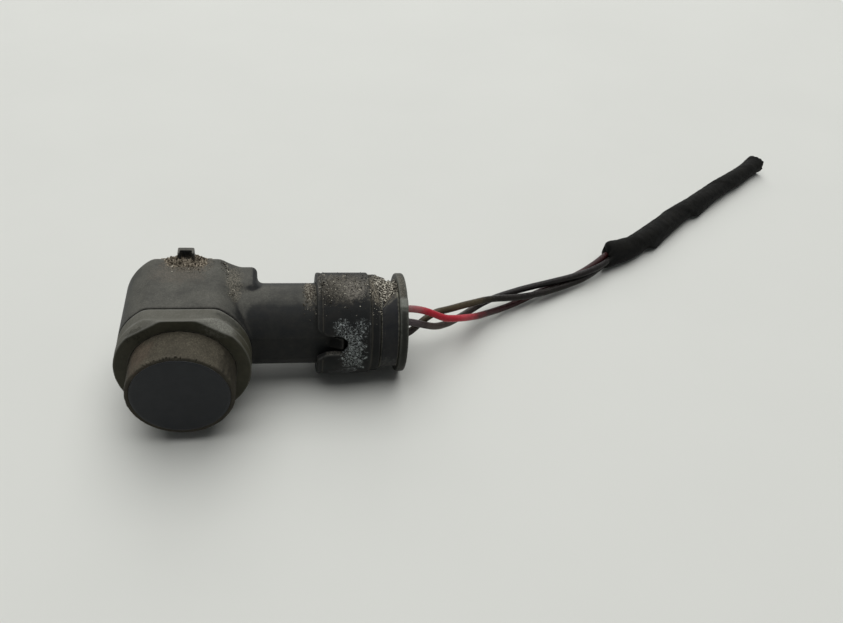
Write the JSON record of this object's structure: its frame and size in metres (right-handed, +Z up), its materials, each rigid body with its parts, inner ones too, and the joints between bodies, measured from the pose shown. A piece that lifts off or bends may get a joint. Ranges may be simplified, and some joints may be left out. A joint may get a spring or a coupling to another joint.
{
  "type": "parking sensor",
  "caption": "Round ultrasonic parking sensor head with a side socket neck, a mated round plug and a short taped pigtail with cut end.",
  "frame": {"origin": "on the sensor axis, in the plane of the bezel's front face", "axes": "-Y along the sensor axis, out of the sound face; +X towards the plug, +Z up from the surface that it lies on"},
  "size_m": [0.2007, 0.1089, 0.0311],
  "materials": {
    "housing_plastic": "weathered glass-filled plastic with dust on the upper sides",
    "plug_plastic": "black connector plastic, scuffed and dusty",
    "face_coat": "black painted aluminium with a soft sheen",
    "silicone": "black silicone under brown road dust",
    "seal_rubber": "red-brown seal silicone",
    "foam": "grey damping foam",
    "piezo_ceramic": "fired piezo ceramic with silver electrodes",
    "board": "green solder mask",
    "electronics": "moulded component bodies",
    "bare_metal": "tinned metal",
    "contact_metal": "tinned copper alloy",
    "red_insulation": "red insulation, dull with dust",
    "brown_insulation": "olive brown insulation, dull with dust",
    "grey_insulation": "dark grey insulation, dull with dust",
    "cloth_tape": "black cloth harness tape, wound in a spiral"
  },
  "bodies": {
    "root": {"housing": "housing_plastic", "front_bezel": "housing_plastic", "transducer_cup": "face_coat", "decoupling_ring": "silicone", "piezo_disc": "piezo_ceramic", "damping_pad": "foam", "cup_filler": "foam", "piezo_leads": "bare_metal", "circuit_board": "board", "drive_transformer": "electronics", "buffer_capacitor": "bare_metal", "driver_chip": "electronics", "chip_components": "electronics", "socket_pins": "contact_metal", "rear_cover": "housing_plastic", "plug_body": "plug_plastic", "lock_sleeve": "plug_plastic", "interface_seal": "seal_rubber", "crimp_terminals": "contact_metal", "wire_seals": "seal_rubber", "rear_cap": "plug_plastic", "red_wire": "red_insulation", "brown_wire": "brown_insulation", "grey_wire": "grey_insulation", "harness_tape": "cloth_tape"}
  },
  "joints": []
}
